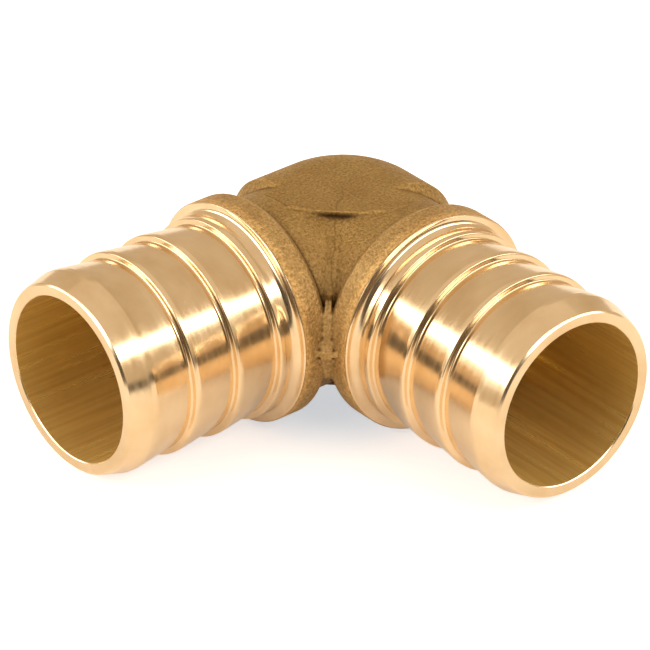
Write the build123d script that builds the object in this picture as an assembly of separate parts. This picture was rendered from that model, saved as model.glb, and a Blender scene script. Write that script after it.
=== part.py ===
"""Brass 90 degree crimp elbow for 1 in PEX tube: one hot forging, drilled and turned.

The two bore axes lie in the XY plane, which is also the parting plane of the forging, and
cross at the origin.  Arm A points along +X and arm B along +Y; the two arms are the same.
Everything is in millimetres.
"""
from build123d import *
from math import radians, sqrt, tan
import os

# --- waterway -------------------------------------------------------------------------
bore_dia = 18.5              # straight drilled waterway
drill_point_angle = 118.0    # full angle of the cone the drill leaves past the crossing

# --- barbed insert, turned ------------------------------------------------------------
insert_length = 21.85        # end face to the machined face of the collar
barb_count = 4
first_crest = 2.6            # end face to the first barb
last_crest = 2.3             # last barb to the face of the collar
crest_width = 0.6            # narrow cylindrical land on each barb
barb_rise = 0.45             # axial run of the steep flank that faces the end
barb_height = 0.7            # crest above the foot of the flank
root_wall = 1.35             # wall at the foot of each barb
tip_wall = 1.4               # wall where the lead-in cone meets the end face
tip_break = 0.25             # small chamfer round the end face

# --- collar, the tube stop ------------------------------------------------------------
collar_rise = 1.4            # collar above the neck behind it
collar_width = 2.7
collar_slit = 0.3            # the back of each collar stays this far clear of the other's rim
face_break = 0.2             # edge between the machined face and the forged rim
back_length = 1.0            # the rim rounds off in two slopes to its back, along the arm
back_drop = 0.7              # and towards the neck
root_slope = 0.35            # 45 degree slope from the back of the collar to the neck

# --- forged body ----------------------------------------------------------------------
neck_wall = 1.8              # plain necks that meet in a mitre at the crotch
side_wall = 2.15             # outer walls of the elbow block, beside the bores
flat_wall = 1.35             # flat pads over and under the bores
side_flat = 3.1              # half height of the upright flat on the outer walls
neck_length_a = 5.6          # plain neck between the collar and the block
neck_length_b = 6.8
block_end_slope = 1.0        # the block's ends slope off to the necks at 45 degrees
pad_front = 7.0              # pads end in a step across the crotch, this far from the origin
pad_to_collar = 4.15         # and they stop this far short of the collars

# --- crotch, between the collars ------------------------------------------------------
web_thickness = 0.6          # upright web that fills the slit between the two collars
web_foot_height = 6.0        # where its edge runs out on the necks, above the axes
flash_thickness = 0.6        # trimmed flash left in the parting plane
flash_set_back = 0.9         # its front edge behind the collars' front corners

# --- derived --------------------------------------------------------------------------
bore_r = bore_dia / 2
root_r = bore_r + root_wall
crest_r = root_r + barb_height
tip_r = bore_r + tip_wall
neck_r = bore_r + neck_wall
collar_r = neck_r + collar_rise
collar_back_x = collar_r + collar_slit
collar_face_x = collar_back_x + collar_width
centre_to_end = collar_face_x + insert_length
barb_pitch = (insert_length - first_crest - last_crest) / (barb_count - 1)
land_fall = barb_height / (barb_pitch - crest_width - barb_rise)
block_half_width = bore_r + side_wall
flat_height = bore_r + flat_wall
pad_reach = collar_back_x - pad_to_collar
web_foot = sqrt(2 * (neck_r ** 2 - web_foot_height ** 2))
web_front = (collar_back_x + collar_r) / sqrt(2)
flash_front = (collar_face_x + collar_r) / sqrt(2) - flash_set_back
mitre = Plane((0, 0, 0), z_dir=(1, -1, 0))


def insert_outline():
    """Points of the turned insert from its end face back to the collar face."""
    points = [
        (centre_to_end, 0),
        (centre_to_end, tip_r - tip_break),
        (centre_to_end - tip_break, tip_r),
    ]
    for barb in range(barb_count):
        crest_x = centre_to_end - first_crest - barb * barb_pitch
        if barb:
            points.append((crest_x + barb_rise, root_r))
        points.append((crest_x, crest_r))
        points.append((crest_x - crest_width, crest_r))
    last_land = points[-1][0] - collar_face_x
    points.append((collar_face_x, crest_r - land_fall * last_land))
    return points


def collar_outline():
    """Points of the collar from its machined face, over the rim and down its back to the neck."""
    rim_end = collar_back_x + min(back_length, collar_width / 2)
    drop = min(back_drop, collar_rise * 0.6)
    root = min(root_slope, collar_rise * 0.3)
    return [
        (collar_face_x, collar_r - face_break),
        (collar_face_x - face_break, collar_r),
        (rim_end, collar_r),
        (collar_back_x + (rim_end - collar_back_x) / 4, collar_r - drop / 4),
        (collar_back_x, collar_r - drop),
        (collar_back_x, neck_r + root),
        (collar_back_x - root, neck_r),
    ]


def arm():
    """One arm along +X: barbed insert, collar and neck, turned about the bore axis."""
    outline = Polyline(*insert_outline(), *collar_outline(), (0, neck_r), (0, 0), close=True)
    return revolve(make_face(outline), Axis.X)


def block():
    """Rounded elbow block round the crossing, cut off square across the crotch."""
    edge_round = flat_height - side_flat
    section = RectangleRounded(2 * block_half_width, 2 * flat_height, edge_round)
    along_a = extrude(Plane.YZ * section, collar_back_x - neck_length_a)
    along_a = chamfer(along_a.faces().sort_by(Axis.X)[-1].edges(), block_end_slope)
    along_b = extrude(Plane.XZ * section, neck_length_b - collar_back_x)
    along_b = chamfer(along_b.faces().sort_by(Axis.Y)[-1].edges(), block_end_slope)
    half = section & Pos(block_half_width, 0) * Rectangle(2 * block_half_width, 2 * flat_height)
    corner = revolve(Plane.XZ * half, Axis.Z)
    spare = 4 * block_half_width
    crotch_side = Rot(Z=45) * Pos(pad_front + spare / 2, 0, 0) * Box(spare, spare, spare)
    return (along_a + along_b + corner) - crotch_side


def pad_cutter():
    """Everything above and below the two flat pads."""
    outside = -2 * block_half_width
    front_corner = pad_front * sqrt(2) - pad_reach
    plan = Polyline(
        (outside, outside),
        (pad_reach, outside),
        (pad_reach, front_corner),
        (front_corner, pad_reach),
        (outside, pad_reach),
        close=True,
    )
    above = extrude(Pos(0, 0, flat_height) * make_face(plan), neck_r)
    return above + mirror(above, Plane.XY)


def crotch_web():
    """Upright web on the mitre and the flash across it that tie the two collars together."""
    side = Polyline(
        (0, -web_foot_height),
        (web_foot, -web_foot_height),
        (web_front, -flash_thickness / 2),
        (web_front, flash_thickness / 2),
        (web_foot, web_foot_height),
        (0, web_foot_height),
        close=True,
    )
    web = extrude(Plane.XZ * make_face(side), web_thickness / 2, both=True)
    flash_length = flash_front - web_foot
    flash_width = 2 * (flash_front - collar_r * sqrt(2))
    flash = Pos(web_foot + flash_length / 2, 0, 0) * Box(flash_length, flash_width, flash_thickness)
    return Rot(Z=45) * (web + flash)


def waterway():
    """The two drilled bores, each with the cone of the drill past the crossing."""
    point_length = bore_r / tan(radians(drill_point_angle / 2))
    side = Polyline(
        (centre_to_end, 0),
        (centre_to_end, bore_r),
        (0, bore_r),
        (-point_length, 0),
        close=True,
    )
    along_a = revolve(make_face(side), Axis.X)
    return along_a + mirror(along_a, mitre)


def elbow():
    """The whole fitting: both arms, the pads, the block, the crotch and the waterway."""
    arm_a = arm()
    body = arm_a + mirror(arm_a, mitre) - pad_cutter()
    return body + block() + crotch_web() - waterway()


os.makedirs("parts", exist_ok=True)
part = elbow()
export_step(part, "parts/elbow_fitting.step")
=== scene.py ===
"""Brass crimp elbow for PEX tube: two turned, barbed arms on one forged body, on a pale floor."""

from math import cos, pi, radians, sin, sqrt

import bmesh
import bpy
import numpy as np
from mathutils import Matrix, Vector


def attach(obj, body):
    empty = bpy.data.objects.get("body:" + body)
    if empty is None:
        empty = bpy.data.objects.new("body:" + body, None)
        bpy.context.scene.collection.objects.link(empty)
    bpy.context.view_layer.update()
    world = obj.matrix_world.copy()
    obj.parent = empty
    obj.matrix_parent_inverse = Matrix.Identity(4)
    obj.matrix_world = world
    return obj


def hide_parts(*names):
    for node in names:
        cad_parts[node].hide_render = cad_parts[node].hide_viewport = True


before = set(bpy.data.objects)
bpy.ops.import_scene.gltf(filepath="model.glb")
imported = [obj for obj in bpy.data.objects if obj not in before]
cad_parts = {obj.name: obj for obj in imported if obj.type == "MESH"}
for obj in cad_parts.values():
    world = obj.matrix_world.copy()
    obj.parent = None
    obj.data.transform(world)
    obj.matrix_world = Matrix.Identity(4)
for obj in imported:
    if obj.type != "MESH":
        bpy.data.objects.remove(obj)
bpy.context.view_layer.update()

# ---------------------------------------------------------------------------------------
# The turned arms.  Each is the part of the brass forging that went through the lathe: the
# straight bore, the end face, four barbs that fall away towards the collar, and the bright
# machined face of the collar with a fine break round its edge.  They are one with the body.
# ---------------------------------------------------------------------------------------
bore_radius = 0.00925
bore_break = 0.00012
crossing_to_end = 0.0373
crossing_to_collar = 0.01545
machined_depth = 0.0002
collar_radius = 0.01244
tip_radius = 0.01065
tip_break = 0.00025
barbs = 4
first_crest = 0.0026
last_crest = 0.0023
crest_radius = 0.0113
foot_radius = 0.0106
crest_width = 0.0006
flank_run = 0.00012
barb_edge = 0.00023
plain_edge = 0.00005  # the plain corners have only a trace of a radius
collar_sweep = 0.0009  # the tool's round nose leaves this in the corner below the collar
barb_pitch = (crossing_to_end - crossing_to_collar - first_crest - last_crest) / (barbs - 1)
land_fall = (crest_radius - foot_radius) / (barb_pitch - crest_width - flank_run)  # gentle cone
bore_skin_reach = 0.00005  # the drilled skin goes this far up the broken edge of the bore
steps_round = 256
corner_steps = 5
same_point = 1e-7


def add_object(name, data):
    """Stand a mesh, lamp or camera in the scene under a name of its own."""
    made = bpy.data.objects.new(name, data)
    bpy.context.collection.objects.link(made)
    return made


def as_mesh(raw, name):
    """The mesh that an object's modifiers leave; the object itself goes."""
    seen = raw.evaluated_get(bpy.context.evaluated_depsgraph_get())
    mesh = bpy.data.meshes.new_from_object(seen)
    mesh.name = name
    bpy.data.objects.remove(raw)
    return mesh


class Bench:
    """One tree of nodes, with short calls that add a node, feed it and work out numbers."""

    def __init__(self, tree):
        self.tree = tree

    def node(self, kind, **settings):
        made = self.tree.nodes.new(kind)
        for name, value in settings.items():
            setattr(made, name, value)
        return made

    def put(self, value, socket):
        """Feed a socket from another node, or give it a plain value of its own."""
        if isinstance(value, bpy.types.NodeSocket):
            self.tree.links.new(value, socket)
        else:
            socket.default_value = value

    def step(self, kind, feeds, **settings):
        """Add a node, feed its named sockets and hand on what it makes."""
        made = self.node(kind, **settings)
        for name, value in feeds.items():
            self.put(value, made.inputs[name])
        return made.outputs[0]

    def sum_of(self, operation, *terms):
        made = self.node("ShaderNodeMath", operation=operation)
        for value, socket in zip(terms, made.inputs):
            self.put(value, socket)
        return made.outputs[0]

    def product(self, *terms):
        """All the terms multiplied together, two at a time."""
        total = terms[0]
        for term in terms[1:]:
            total = self.sum_of("MULTIPLY", total, term)
        return total

    def split(self, index, row_length):
        """Which row an index falls in, and its place in that row; the half keeps rounding out of it."""
        row = self.sum_of("FLOOR", self.sum_of("DIVIDE", self.sum_of("ADD", index, 0.5), row_length))
        return row, self.sum_of("SUBTRACT", index, self.product(row, row_length))

    def apart(self, vector):
        """The X, Y and Z of a vector."""
        made = self.node("ShaderNodeSeparateXYZ")
        self.put(vector, made.inputs[0])
        return made.outputs["X"], made.outputs["Y"], made.outputs["Z"]

    def stretched(self, vector, scale):
        made = self.node("ShaderNodeVectorMath", operation="MULTIPLY")
        self.put(vector, made.inputs[0])
        self.put(scale, made.inputs[1])
        return made.outputs[0]

    def store(self, geometry, name, value, data_type="FLOAT"):
        feeds = {"Geometry": geometry, "Name": name, "Value": value}
        return self.step("GeometryNodeStoreNamedAttribute", feeds, data_type=data_type, domain="POINT")

    def stored(self, name):
        made = self.node("GeometryNodeInputNamedAttribute", data_type="FLOAT")
        self.put(name, made.inputs["Name"])
        return made.outputs["Attribute"]


def arm_outline():
    """The plain stretches of the outline: lead-in and end before the barbs, collar after."""
    before_barbs, after_barbs = -10.0, 1000.0  # the barbs' own points are numbered from 0
    last_land = last_crest - crest_width
    collar_foot = (crossing_to_collar, crest_radius - land_fall * last_land)
    before = [
        (crossing_to_end - bore_break, bore_radius),
        (crossing_to_end, bore_radius + bore_break),
        (crossing_to_end, tip_radius - tip_break),
        (crossing_to_end - tip_break, tip_radius),
    ]
    after = [
        collar_foot,
        (crossing_to_collar, collar_radius - machined_depth),
        (crossing_to_collar - machined_depth, collar_radius),
        (crossing_to_collar - machined_depth, bore_radius),
    ]
    places = [(before_barbs + i, place) for i, place in enumerate(before)]
    places += [(after_barbs + i, place) for i, place in enumerate(after)]
    mesh = bpy.data.meshes.new("arm outline")
    mesh.from_pydata([(x, 0, r) for _, (x, r) in places], [], [])
    turn = mesh.attributes.new("turn_order", "FLOAT", "POINT")
    ease = mesh.attributes.new("edge_radius", "FLOAT", "POINT")
    for i, (order, place) in enumerate(places):
        turn.data[i].value = order
        ease.data[i].value = collar_sweep if place == collar_foot else 0.0
    return mesh


def lathe_sockets(tree):
    """The lathe's named inputs, one for each size that it turns an arm by."""
    sizes = {
        "First Crest From Crossing": crossing_to_end - first_crest,
        "Barb Pitch": barb_pitch,
        "Crest Radius": crest_radius,
        "Foot Radius": foot_radius,
        "Crest Width": crest_width,
        "Flank Run": flank_run,
        "Edge Radius": barb_edge,
        "Plain Edge Radius": plain_edge,
        "Bore Limit": bore_radius + bore_skin_reach,
    }
    counts = {"Barbs": barbs, "Corner Steps": corner_steps, "Steps Round": steps_round}
    sockets = tree.interface
    sockets.new_socket("Outline", in_out="INPUT", socket_type="NodeSocketGeometry")
    for kind, values in (("NodeSocketFloat", sizes), ("NodeSocketInt", counts)):
        for name, value in values.items():
            sockets.new_socket(name, in_out="INPUT", socket_type=kind).default_value = value
    for name in ("Turned Skin", "Drilled Skin"):
        sockets.new_socket(name, in_out="INPUT", socket_type="NodeSocketMaterial")
    sockets.new_socket("Arm", in_out="OUTPUT", socket_type="NodeSocketGeometry")


def barb_row(bench, given):
    """Three points to a barb: foot of the flank, front of the crest, back of the crest."""
    corners = 3.0
    index = bench.step("GeometryNodeInputIndex", {})
    row = bench.step("GeometryNodeMeshLine", {"Count": bench.product(given["Barbs"], corners)})
    which, corner = bench.split(index, corners)
    is_foot = bench.sum_of("LESS_THAN", corner, 0.5)  # corner 0
    is_back = bench.sum_of("GREATER_THAN", corner, 1.5)  # corner 2
    front = bench.sum_of("SUBTRACT", given["First Crest From Crossing"],
                         bench.product(which, given["Barb Pitch"]))
    forward = bench.sum_of("ADD", front, bench.product(is_foot, given["Flank Run"]))
    x = bench.sum_of("SUBTRACT", forward, bench.product(is_back, given["Crest Width"]))
    rise = bench.sum_of("SUBTRACT", given["Crest Radius"], given["Foot Radius"])
    r = bench.sum_of("SUBTRACT", given["Crest Radius"], bench.product(is_foot, rise))
    place = bench.step("ShaderNodeCombineXYZ", {"X": x, "Z": r})
    laid_out = bench.step("GeometryNodeSetPosition", {"Geometry": row, "Position": place})
    # the first barb rises straight from the lead-in cone, so it has no foot of its own
    first = bench.sum_of("LESS_THAN", index, 0.5)
    feeds = {"Geometry": laid_out, "Selection": first}
    no_foot = bench.step("GeometryNodeDeleteGeometry", feeds, domain="POINT")
    numbered = bench.store(no_foot, "turn_order", index)
    return bench.store(numbered, "edge_radius", given["Edge Radius"])


def strung_outline(bench, given, barb_points):
    """The whole outline as one closed curve, in turning order, with its corners eased."""
    together = bench.node("GeometryNodeJoinGeometry")
    bench.put(given["Outline"], together.inputs[0])
    bench.put(barb_points, together.inputs[0])
    points = bench.step("GeometryNodeMeshToPoints", {"Mesh": together.outputs[0]})
    feeds = {"Points": points, "Weight": bench.stored("turn_order")}
    string = bench.step("GeometryNodePointsToCurves", feeds)
    closed = bench.step("GeometryNodeSetSplineCyclic", {"Geometry": string, "Cyclic": True})
    # a point that asks for no radius of its own gets the trace that every corner has
    radius = bench.sum_of("MAXIMUM", bench.stored("edge_radius"), given["Plain Edge Radius"])
    feeds = {"Curve": closed, "Radius": radius, "Limit Radius": True, "Count": given["Corner Steps"]}
    return bench.step("GeometryNodeFilletCurve", feeds, mode="POLY")


def turned_round(bench, given, outline):
    """A grid with a column for each step round and a row for each outline point, bent into the arm."""
    size = bench.node("GeometryNodeAttributeDomainSize", component="CURVE")
    bench.put(outline, size.inputs[0])
    points = size.outputs["Point Count"]
    rows = bench.sum_of("ADD", points, 1.0)
    columns = bench.sum_of("ADD", given["Steps Round"], 1.0)
    grid = bench.step("GeometryNodeMeshGrid", {"Vertices X": columns, "Vertices Y": rows})
    column, line = bench.split(bench.step("GeometryNodeInputIndex", {}), rows)
    on_outline = bench.sum_of("MODULO", line, points)

    def sample(data_type, value):
        feeds = {"Geometry": outline, "Value": value, "Index": on_outline}
        return bench.step("GeometryNodeSampleIndex", feeds, data_type=data_type, domain="POINT")

    x, _, r = bench.apart(sample("FLOAT_VECTOR", bench.step("GeometryNodeInputPosition", {})))
    run = sample("FLOAT", bench.node("GeometryNodeSplineParameter").outputs["Length"])
    angle = bench.sum_of("DIVIDE", bench.product(column, radians(360)), given["Steps Round"])
    cosine, sine = bench.sum_of("COSINE", angle), bench.sum_of("SINE", angle)
    feeds = {"X": x, "Y": bench.product(r, cosine), "Z": bench.product(r, sine)}
    place = bench.step("ShaderNodeCombineXYZ", feeds)
    turned = bench.step("GeometryNodeSetPosition", {"Geometry": grid, "Position": place})
    # "turning" holds how far along the outline a point lies, and its place round the axis
    track = bench.step("ShaderNodeCombineXYZ", {"X": run, "Y": cosine, "Z": sine})
    marked = bench.store(turned, "turning", track, "FLOAT_VECTOR")
    outward = bench.step("GeometryNodeFlipFaces", {"Mesh": marked})
    merged = bench.step("GeometryNodeMergeByDistance", {"Geometry": outward, "Distance": same_point})
    return bench.step("GeometryNodeSetShadeSmooth", {"Geometry": merged})


def lathe_tree():
    """Geometry Nodes: lay the barbs out by their pitch, string the outline and turn it round."""
    tree = bpy.data.node_groups.new("turn a barbed arm", "GeometryNodeTree")
    lathe_sockets(tree)
    bench = Bench(tree)
    given = bench.node("NodeGroupInput").outputs
    outline = strung_outline(bench, given, barb_row(bench, given))
    real = bench.step("GeometryNodeRealizeInstances", {"Geometry": turned_round(bench, given, outline)})
    coated = bench.step("GeometryNodeSetMaterial", {"Geometry": real, "Material": given["Turned Skin"]})
    # the wall of the bore is a drilled hole and has its own skin
    from_axis = bench.node("ShaderNodeVectorMath", operation="LENGTH")
    bench.put(bench.stretched(bench.step("GeometryNodeInputPosition", {}), (0, 1, 1)), from_axis.inputs[0])
    in_bore = bench.sum_of("LESS_THAN", from_axis.outputs["Value"], given["Bore Limit"])
    feeds = {"Geometry": coated, "Selection": in_bore, "Material": given["Drilled Skin"]}
    drilled = bench.step("GeometryNodeSetMaterial", feeds)
    bench.put(drilled, bench.node("NodeGroupOutput").inputs["Arm"])
    return tree


class Finish(Bench):
    """A material's tree: its shader, and the noises, ramps and bumps that finish the surface."""

    def __init__(self, name):
        self.material = bpy.data.materials.new(name)
        self.material.use_nodes = True
        super().__init__(self.material.node_tree)

    def coat(self, feeds):
        """Feed the shader's named sockets."""
        for name, value in feeds.items():
            self.put(value, self.tree.nodes["Principled BSDF"].inputs[name])

    def place(self):
        return self.node("ShaderNodeTexCoord").outputs["Object"]

    def mark(self, name, output="Fac"):
        """What the mesh itself holds under this name."""
        return self.node("ShaderNodeAttribute", attribute_name=name).outputs[output]

    def noise(self, place, scale, detail, roughness=0.5):
        feeds = {"Vector": place, "Scale": scale, "Detail": detail, "Roughness": roughness}
        return self.step("ShaderNodeTexNoise", feeds)

    def rings(self, along, around, detail=2.0):
        """Noise that follows the lathe: marks per metre of outline, and round the axis."""
        track = self.stretched(self.mark("turning", "Vector"), (along, around, around))
        return self.noise(track, 1.0, detail)

    def ramp(self, value, *stops):
        """Colour by value: the stops are (value, colour), from low to high."""
        made = self.node("ShaderNodeValToRGB")
        elements = made.color_ramp.elements
        elements[0].position, elements[-1].position = stops[0][0], stops[-1][0]
        for at, _ in stops[1:-1]:
            elements.new(at)
        for element, (_, colour) in zip(elements, stops):
            element.color = (*colour, 1)
        self.put(value, made.inputs[0])
        return made.outputs[0]

    def spread(self, value, low, high, at_low=0.0, at_high=1.0):
        """Carry low..high over to at_low..at_high, and hold it there past both ends."""
        feeds = {"Value": value, "From Min": low, "From Max": high, "To Min": at_low, "To Max": at_high}
        return self.step("ShaderNodeMapRange", feeds)

    def by_noise(self, noise, at_low, at_high):
        """Carry a noise, which lies mostly between 0.3 and 0.7, over to at_low..at_high."""
        return self.spread(noise, 0.3, 0.7, at_low, at_high)

    def tinted(self, colour, tint, share):
        """A colour multiplied by a tint, as far as the share says."""
        made = self.node("ShaderNodeMix", data_type="RGBA", blend_type="MULTIPLY")
        self.put(share, made.inputs["Factor"])
        self.put(colour, made.inputs["A"])
        self.put((*tint, 1) if isinstance(tint, tuple) else tint, made.inputs["B"])
        return made.outputs["Result"]

    def bump(self, height, distance, strength, over=None):
        feeds = {"Height": height, "Distance": distance, "Strength": strength}
        if over:
            feeds["Normal"] = over
        return self.step("ShaderNodeBump", feeds)


def round_the_arm(brass, place):
    """The way the tool went: square to the arm's axis and to the step out from it."""
    x, y, _ = brass.apart(place)
    on_arm_b = brass.sum_of("GREATER_THAN", y, x)
    axis = brass.node("ShaderNodeMix", data_type="VECTOR")
    for name, value in (("Factor", on_arm_b), ("A", (1, 0, 0)), ("B", (0, 1, 0))):
        brass.put(value, axis.inputs[name])
    way = brass.node("ShaderNodeVectorMath", operation="CROSS_PRODUCT")
    brass.put(axis.outputs["Result"], way.inputs[0])
    brass.put(place, way.inputs[1])
    return way.outputs[0]


def turned_brass():
    """Bright brass off the lathe: fine rings, broader bands of feed marks, a few dull patches."""
    brass = Finish("turned brass")
    place = brass.place()
    fine = brass.rings(along=9000, around=0.6)
    feed = brass.rings(along=2200, around=0.35)
    bands = brass.rings(along=260, around=1.1, detail=3.0)
    dull_patches = brass.noise(place, scale=220, detail=5)
    warm, plain, pale = (0.84, 0.63, 0.38), (0.91, 0.69, 0.43), (0.95, 0.73, 0.47)
    dulled, clean = (0.86, 0.80, 0.70), (1, 1, 1)
    colour = brass.ramp(bands, (0.3, warm), (0.55, plain), (0.75, pale))
    patches = brass.ramp(dull_patches, (0.35, dulled), (0.6, clean))
    feed_marks = brass.bump(feed, distance=0.00001, strength=0.5)
    brass.coat({
        "Base Color": brass.tinted(colour, patches, 0.6),
        "Metallic": 0.93,
        "Roughness": brass.by_noise(feed, 0.09, 0.16),
        # the rings lie round the arm, so they smear what the metal mirrors along it
        "Anisotropic": 0.9,
        "Tangent": round_the_arm(brass, place),
        "Normal": brass.bump(fine, distance=0.000004, strength=0.6, over=feed_marks),
    })
    return brass.material


def drilled_brass():
    """The drilled waterway: duller than the outside, streaked along the drill's way out."""
    brass = Finish("drilled brass")
    drag = brass.rings(along=35, around=14, detail=4)
    feed = brass.rings(along=2600, around=0.5)
    shaded, rubbed = (0.74, 0.50, 0.15), (1.0, 0.76, 0.27)
    brass.coat({
        "Base Color": brass.ramp(drag, (0.32, shaded), (0.68, rubbed)),
        "Metallic": 0.6,
        "Roughness": brass.by_noise(drag, 0.46, 0.24),
        "Normal": brass.bump(feed, distance=0.00002, strength=0.5),
    })
    return brass.material


arm_skins = {"Turned Skin": turned_brass(), "Drilled Skin": drilled_brass()}


def turned_arm(name, quarter_turns):
    """One arm off the lathe, laid along +X and swung about Z onto its own axis."""
    raw = add_object(name + " raw", arm_outline())
    lathe = raw.modifiers.new("lathe", "NODES")
    lathe.node_group = lathe_tree()
    for socket in lathe.node_group.interface.items_tree:
        if socket.name in arm_skins:
            lathe[socket.identifier] = arm_skins[socket.name]
    raw.modifiers.new("fair normals", "WEIGHTED_NORMAL").weight = 50
    mesh = as_mesh(raw, name)
    mesh.transform(Matrix.Rotation(radians(90 * quarter_turns), 4, "Z"))
    arm = add_object(name, mesh)
    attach(arm, "root")
    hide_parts("elbow_fitting")


turned_arm("turned_arm_a", 0)
turned_arm("turned_arm_b", 1)

# ---------------------------------------------------------------------------------------
# The forged body.  Elbow block, flat pads, necks, web and flash are left as they came from
# the dies and then went through shot blasting: every edge is a little soft and the skin is grainy.
# It is the same piece of brass as the arms and meets them just behind the collar faces.
# ---------------------------------------------------------------------------------------
neck_radius = 0.01105
collar_back = 0.0116
collar_rim = [(0.0117, 0.01150), (0.0120, 0.01205), (0.0126, collar_radius)]  # along the arm, radius
pad_level = 0.0106
pad_front = 0.0070
cut_plane = crossing_to_collar - machined_depth  # the forging ends and the turned arm begins
fill_bottom, fill_top = 0.0045, 0.0104
fill_proud = 0.0006
fill_half_width = 0.0006
web_top = 0.0056
web_rim_top = 0.0053
web_proud = 0.0007
web_half_width = 0.00036
flash_half_width = 0.0006
burr_reach = 0.0052
burr_height = 0.00022
burr_foot = 0.0095
burr_behind, burr_before = 0.0002, 0.0001  # of the pad's front edge
skin_step = 0.00014
soften_steps = 4
soften_share = 0.5
kept_share = 0.3


def collar_sleeve(work, steps=192):
    """A closed ring along +X: the rim of a collar, rounded off at its back, carried past the cut."""
    past_cut = cut_plane + 0.0015
    inside = bore_radius + 0.0006
    outline = [(collar_back, neck_radius - 0.0004)] + collar_rim
    outline += [(past_cut, collar_radius), (past_cut, inside), (collar_back, inside)]
    angles = [radians(360 * i / steps) for i in range(steps)]
    rings = [[work.verts.new((x, r * cos(a), r * sin(a))) for a in angles] for x, r in outline]
    for here, there in zip(rings, rings[1:] + rings[:1]):
        for i in range(steps):
            work.faces.new((here[i], there[i], there[i - 1], here[i - 1]))
    return sum(rings, [])


def block(work, near, far):
    """A closed block stood on the mitre, between two like outlines of (out, across, height)."""
    ends = [[work.verts.new(((out + across) / sqrt(2), (out - across) / sqrt(2), height))
             for out, across, height in outline] for outline in (near, far)]
    work.faces.new(ends[0])
    work.faces.new(ends[1][::-1])
    for i in range(len(near)):
        work.faces.new((ends[0][i], ends[0][i - 1], ends[1][i - 1], ends[1][i]))


def upright(work, side, half_width):
    """A block that looks the same all the way across the mitre."""
    block(work, *([(out, across, height) for out, height in side] for across in (-half_width, half_width)))


def valley(radius, height):
    """How far out two like cylinders, one along each arm, meet at this height."""
    return sqrt(2) * sqrt(radius ** 2 - height ** 2)


def neck_filling(work, steps=8):
    """Above the rims the die filled the valley between the necks nearly flat."""
    buried = 0.006
    heights = [fill_bottom + (fill_top - fill_bottom) * k / steps for k in range(steps + 1)]
    front = [(valley(neck_radius, z) + fill_proud, z) for z in heights[::-1]]
    upright(work, [(buried, fill_top)] + front + [(buried, fill_bottom)], fill_half_width)


def crotch_web(work, steps=6):
    """The two rims run into each other lower down; a thin web of flash stands in that corner."""
    buried = 0.0150
    heights = [web_rim_top * (1 - k / steps) for k in range(steps + 1)]
    front = [(valley(collar_radius, z) + web_proud, z) for z in heights]
    upright(work, [(buried, web_top)] + front + [(buried, 0.0)], web_half_width)


def trimmed_flash(work):
    """Flash pressed out where the dies met in the crotch, cut off short; below it runs back in."""
    side = [(0.0170, 0.0014), (0.0182, 0.0013), (0.0186, 0.0006), (0.0188, 0.0001),
            (0.0188, -0.0005), (0.0183, -0.0012), (0.0179, -0.0020), (0.0170, -0.0040)]
    upright(work, side, flash_half_width)


def pad_burr(work, side, steps=20):
    """A low burr along the front edge of a flat pad, carried out over the necks."""
    crest = []
    for k in range(steps + 1):
        across = burr_reach * (2 * k / steps - 1)
        from_axis = (pad_front - abs(across)) / sqrt(2)
        neck_top = sqrt(neck_radius ** 2 - from_axis ** 2)
        crest.append((across, max(pad_level, neck_top) + burr_height))
    outline = [(-burr_reach, burr_foot)] + crest + [(burr_reach, burr_foot)]
    ends = (pad_front - burr_behind, pad_front + burr_before)
    block(work, *([(out, across, side * height) for across, height in outline] for out in ends))


def soft_skin(mesh):
    """One closed skin over all that overlaps, with its edges eased as a die leaves them."""
    raw = add_object("forging raw", mesh)
    skin = raw.modifiers.new("skin", "REMESH")
    skin.mode = "VOXEL"
    skin.voxel_size = skin_step
    skin.use_smooth_shade = True
    ease = raw.modifiers.new("ease", "SMOOTH")
    ease.factor = soften_share
    ease.iterations = soften_steps
    raw.modifiers.new("thin", "DECIMATE").ratio = kept_share
    return as_mesh(raw, "forged_body")


def cut_at_collars(mesh):
    """Cut the arms off behind the collar faces and close the cuts."""
    work = bmesh.new()
    work.from_mesh(mesh)
    for axis in ((1, 0, 0), (0, 1, 0)):
        cut = bmesh.ops.bisect_plane(
            work, geom=list(work.verts) + list(work.edges) + list(work.faces), dist=1e-8,
            plane_co=Vector(axis) * cut_plane, plane_no=axis, clear_outer=True,
        )
        rim = [e for e in cut["geom_cut"] if isinstance(e, bmesh.types.BMEdge)]
        bmesh.ops.triangle_fill(work, use_beauty=True, edges=rim, normal=axis)
    work.to_mesh(mesh)
    work.free()


def forged_mesh():
    """The solid's own shape, with what the dies left on it, less the arms."""
    work = bmesh.new()
    work.from_mesh(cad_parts["elbow_fitting"].data)
    bmesh.ops.remove_doubles(work, verts=work.verts, dist=same_point)
    for turn in (0, 1):
        ring = collar_sleeve(work)
        swing = Matrix.Rotation(radians(90 * turn), 3, "Z")
        bmesh.ops.rotate(work, verts=ring, cent=(0, 0, 0), matrix=swing)
    neck_filling(work)
    crotch_web(work)
    trimmed_flash(work)
    for side in (1, -1):
        pad_burr(work, side)
    mesh = bpy.data.meshes.new("forged body")
    work.to_mesh(mesh)
    work.free()
    mesh = soft_skin(mesh)
    cut_at_collars(mesh)
    return mesh


def per_vertex(mesh, what):
    values = np.empty(len(mesh.vertices) * 3)
    mesh.vertices.foreach_get(what, values)
    return values.reshape(-1, 3)


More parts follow.
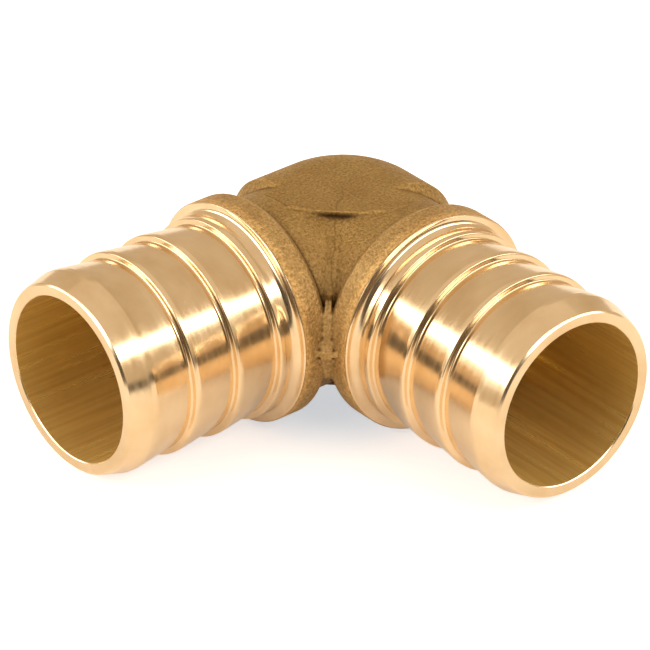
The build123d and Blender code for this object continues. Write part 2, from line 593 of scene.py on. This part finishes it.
def edge_wear_and_shading(mesh, rounds=6, own_share=0.4, full_depth=0.00005):
    """How far smoothing would sink the skin: above zero on proud edges, below zero in creases."""
    count = len(mesh.vertices)
    place, outward = per_vertex(mesh, "co"), per_vertex(mesh, "normal")
    ends = np.empty(len(mesh.edges) * 2, dtype=np.int64)
    mesh.edges.foreach_get("vertices", ends)
    a, b = ends.reshape(-1, 2).T
    meeting = np.maximum(np.bincount(a, minlength=count) + np.bincount(b, minlength=count), 1)
    eased = place.copy()
    for _ in range(rounds):
        total = np.stack([np.bincount(a, eased[b, k], count) + np.bincount(b, eased[a, k], count)
                          for k in range(3)], 1)
        eased = own_share * eased + (1 - own_share) * total / meeting[:, None]
    return np.clip(-np.einsum("ij,ij->i", eased - place, outward) / full_depth, -1, 1)


def burr_step_shade(mesh):
    """Painted shade in the step under the burr of each pad, either side of the mitre."""
    below_pad = 0.00035
    deep, high, wide = 0.0004, 0.0003, 0.0028
    x, y, z = per_vertex(mesh, "co").T
    out, across = (x + y) / sqrt(2), (x - y) / sqrt(2)
    in_front = out - pad_front - burr_before
    under = np.abs(z) - (pad_level - below_pad)
    return np.exp(-(in_front / deep) ** 2 - (under / high) ** 2 - (across / wide) ** 4)


def painted_front_light(mesh):
    """Painted light: the rims of the collars, and by half the crotch side of the necks, are lightened as if
    lit from the front.
    """
    rim_start, rim_run = 0.0113, 0.0012
    crotch_start, crotch_run, crotch_share = 0.0095, 0.004, 0.5
    x, y, _ = per_vertex(mesh, "co").T
    rims = np.clip((np.maximum(x, y) - rim_start) / rim_run, 0, 1)
    crotch = np.clip(((x + y) / sqrt(2) - crotch_start) / crotch_run, 0, 1)
    return np.clip(rims + crotch_share * crotch, 0, 1)


def forging_grain(brass, place, scale, detail):
    """The uneven skin of the forging, somewhat rougher than plain noise."""
    return brass.noise(place, scale, detail, roughness=0.55)


def tool_mark(brass, place, x, y):
    """How deep a faint, wavering line is scored along the mitre and over both pads."""
    waver_width = 0.0022
    line_core, line_edge, line_depth = 0.00004, 0.00022, 0.5
    fades_in, full_at = -0.001, 0.006
    stops_at = collar_back - 0.0008
    noise = forging_grain(brass, place, scale=330, detail=1)
    waver = brass.sum_of("MULTIPLY_ADD", noise, waver_width, -waver_width / 2)
    aside = brass.sum_of("ADD", brass.sum_of("SUBTRACT", x, y), waver)
    scratch = brass.spread(brass.sum_of("ABSOLUTE", aside), line_core, line_edge, line_depth, 0.0)
    forward = brass.spread(brass.sum_of("ADD", x, y), fades_in, full_at)
    short_of_web = brass.sum_of("LESS_THAN", brass.sum_of("MAXIMUM", x, y), stops_at)
    return brass.product(scratch, forward, short_of_web)


def groove_shade(brass, x, y):
    """How deep the painted shade is in the groove behind each collar, where the neck runs up to its back.
    """
    before, after = collar_back - 0.0012, collar_back + 0.0008
    shares = ((0.0, 0.0), (0.30, 0.10), (0.46, 0.8), (0.6, 0.9), (0.78, 0.35), (1.0, 0.0))
    along = brass.spread(brass.sum_of("MAXIMUM", x, y), before, after)
    return brass.ramp(along, *((at, (share, share, share)) for at, share in shares))


def forged_brass():
    """Forging after shot blasting: fine grain, darker and browner than the turned faces, with painted shade
    and painted light in its colour.
    """
    brass = Finish("forged brass")
    place = brass.place()
    x, y, _ = brass.apart(place)
    fine = forging_grain(brass, place, scale=4800, detail=2)
    coarse = forging_grain(brass, place, scale=3400, detail=3)
    cloudy = forging_grain(brass, place, scale=190, detail=4)
    brown, tan = (0.30, 0.18, 0.05), (0.55, 0.345, 0.115)
    clouded, clean = (0.82, 0.76, 0.68), (1, 1, 1)
    crease, proud = (0.34, 0.28, 0.20), (1.35, 1.35, 1.35)
    lit_tint, shade_tint, scored = (1.26, 1.30, 1.55), (0.16, 0.11, 0.055), (0.45, 0.38, 0.28)

    colour = brass.ramp(coarse, (0.32, brown), (0.68, tan))
    clouds = brass.ramp(cloudy, (0.35, clouded), (0.62, clean))
    colour = brass.tinted(colour, clouds, 0.8)
    # painted light and rubbing: proud edges are lightened, as rubbing and a painted edge highlight; creases
    # are darkened, as oxide and painted shade
    edge_depth = brass.spread(brass.mark("edge_wear_and_shading"), -1.0, 1.0)
    wear_and_shading = brass.ramp(edge_depth, (0.0, crease), (0.42, clean), (0.62, clean), (1.0, proud))
    colour = brass.tinted(colour, wear_and_shading, 1.0)
    # painted light: the collar rims and the crotch side of the necks are lightened in the colour
    colour = brass.tinted(colour, lit_tint, brass.mark("front_light"))
    # painted shade: the step under each pad's burr and the groove behind each collar are darkened in the
    # colour
    painted_shade = brass.sum_of("MAXIMUM", brass.mark("step_shade"), groove_shade(brass, x, y))
    colour = brass.tinted(colour, shade_tint, painted_shade)
    colour = brass.tinted(colour, scored, tool_mark(brass, place, x, y))
    pits = brass.bump(coarse, distance=0.00022, strength=0.7)
    brass.coat({
        "Base Color": colour,
        "Metallic": 0.75,
        "Roughness": brass.by_noise(fine, 0.62, 0.46),
        "Normal": brass.bump(fine, distance=0.0001, strength=0.8, over=pits),
    })
    return brass.material


body = add_object("forged_body", forged_mesh())
for mark, how_much in (("edge_wear_and_shading", edge_wear_and_shading), ("step_shade", burr_step_shade), ("front_light", painted_front_light)):
    values = how_much(body.data)
    body.data.attributes.new(mark, "FLOAT", "POINT").data.foreach_set("value", values)
body.data.materials.clear()
body.data.materials.append(forged_brass())
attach(body, "root")
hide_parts("elbow_fitting")

# ---------------------------------------------------------------------------------------
# The floor.  A plain sheet of white board that the fitting lies on, collars down.  A little
# light of its own keeps it an even white, and the fitting's shadow stays on it.
# ---------------------------------------------------------------------------------------
floor_level = -collar_radius
floor_reach = 2
cream, cool_white = (0.92, 0.86, 0.77, 1), (0.85, 0.93, 1, 1)


def white_board():
    """Matt white board; its own light is for the eye and, more faintly, for the polished faces."""
    shares = {"Is Camera Ray": 0.62, "Is Glossy Ray": 0.2}
    paper = Finish("white board")
    seen_by = paper.node("ShaderNodeLightPath")
    lift = 0.0
    for ray, share in shares.items():
        lift = paper.sum_of("MULTIPLY_ADD", seen_by.outputs[ray], share, lift)
    paper.coat({
        "Base Color": cream,
        "Roughness": 1.0,
        "Specular IOR Level": 0.0,
        "Emission Color": cool_white,
        "Emission Strength": lift,
    })
    return paper.material


board = bpy.data.meshes.new("floor")
corners = [(x * floor_reach, y * floor_reach, floor_level) for x, y in ((-1, -1), (1, -1), (1, 1), (-1, 1))]
board.from_pydata(corners, [], [(0, 1, 2, 3)])
board.materials.append(white_board())
floor = add_object("floor", board)

# ---------------------------------------------------------------------------------------
# The light.  A warm grey room with a long strip light high beside each arm, a faint glow
# round the one by arm B and a dim ceiling panel.  Dark cloths hang round the crotch side,
# low along the floor and tall in the middle, for the polished faces to mirror.
# ---------------------------------------------------------------------------------------
room_colour = (0.64, 0.52, 0.38, 1)
cloth_shade = (0.03, 0.022, 0.015, 1)
cloth_distance = 1.1
cloth_foot = -0.012
panels = 4

room = bpy.data.worlds.new("room")
room.use_nodes = True
room.node_tree.nodes["Background"].inputs["Color"].default_value = room_colour
room.node_tree.nodes["Background"].inputs["Strength"].default_value = 1.0
bpy.context.scene.world = room


def direction(azimuth, rise):
    """One metre out from the fitting: degrees round from +X towards +Y, and degrees up."""
    azimuth, rise = radians(azimuth), radians(rise)
    return Vector((cos(rise) * cos(azimuth), cos(rise) * sin(azimuth), sin(rise)))


def strip_light(name, azimuth, rise, shift, length, width, glow):
    """A lamp facing the fitting from 1 m off, its length level, shifted that far along it."""
    out = direction(azimuth, rise)
    level = direction(azimuth + 90, 0)
    lamp = bpy.data.lights.new(name, "AREA")
    lamp.shape = "RECTANGLE"
    lamp.size = length
    lamp.size_y = width
    lamp.energy = glow * pi * length * width
    turn = Matrix((level, out.cross(level), out)).transposed().to_4x4()
    add_object(name, lamp).matrix_world = Matrix.Translation(out + level * shift) @ turn


# beside arm A the strip stands on the +Y side and runs along X; beside arm B the other way round
strip_light("strip by arm A", azimuth=90, rise=42, shift=0.85, length=2.2, width=0.25, glow=4.8)
strip_light("strip by arm B", azimuth=0, rise=33.5, shift=-0.85, length=2.2, width=0.30, glow=4.0)
strip_light("glow round strip by arm B", azimuth=0, rise=30, shift=-0.85, length=2.4, width=0.50, glow=0.5)
strip_light("ceiling panel", azimuth=0, rise=88, shift=0.0, length=2.0, width=2.0, glow=0.15)


def dark_cloth(name, start, stop, height):
    """One panel of matt cloth, upright from the floor, between two degrees round the fitting."""
    mesh = bpy.data.meshes.new(name)
    edges = [direction(angle, 0) * cloth_distance for angle in (start, stop)]
    corners = [(edge.x, edge.y, z) for edge in edges for z in (cloth_foot, height)]
    mesh.from_pydata(corners, [], [(0, 1, 3, 2)])
    cloth = add_object(name, mesh)
    felt = Finish(name)
    felt.coat({"Base Color": cloth_shade, "Roughness": 1.0})
    mesh.materials.append(felt.material)


for name, start, stop, height in (
    ("dark_end_of_the_room", -2, 142, 0.16),
    ("curtain_behind_the_camera", 16, 82, 1.1),
):
    for i in range(panels):
        left, right = (start + (stop - start) * k / panels for k in (i, i + 1))
        dark_cloth(f"{name}_{i + 1}", left, right, height)

# ---------------------------------------------------------------------------------------
# The camera.  A long lens 0.6 m off, looking down on the crotch of the elbow.  It aims a few
# millimetres in front of the crossing and below it, so that the fitting sits in the middle.
# ---------------------------------------------------------------------------------------
camera_place = (0.33206, 0.39991, 0.30100)
camera_azimuth = 50.51
camera_rise = 30.68
focal_length = 307.6
film_width = 36
nearest_seen = 0.05

lens = bpy.data.cameras.new("camera")
lens.lens = focal_length
lens.sensor_width = film_width
lens.clip_start = nearest_seen
camera = add_object("camera", lens)
camera.location = camera_place
camera.rotation_euler = direction(camera_azimuth, camera_rise).to_track_quat("Z", "Y").to_euler()
bpy.context.scene.camera = camera
bpy.context.scene.view_settings.view_transform = "Standard"
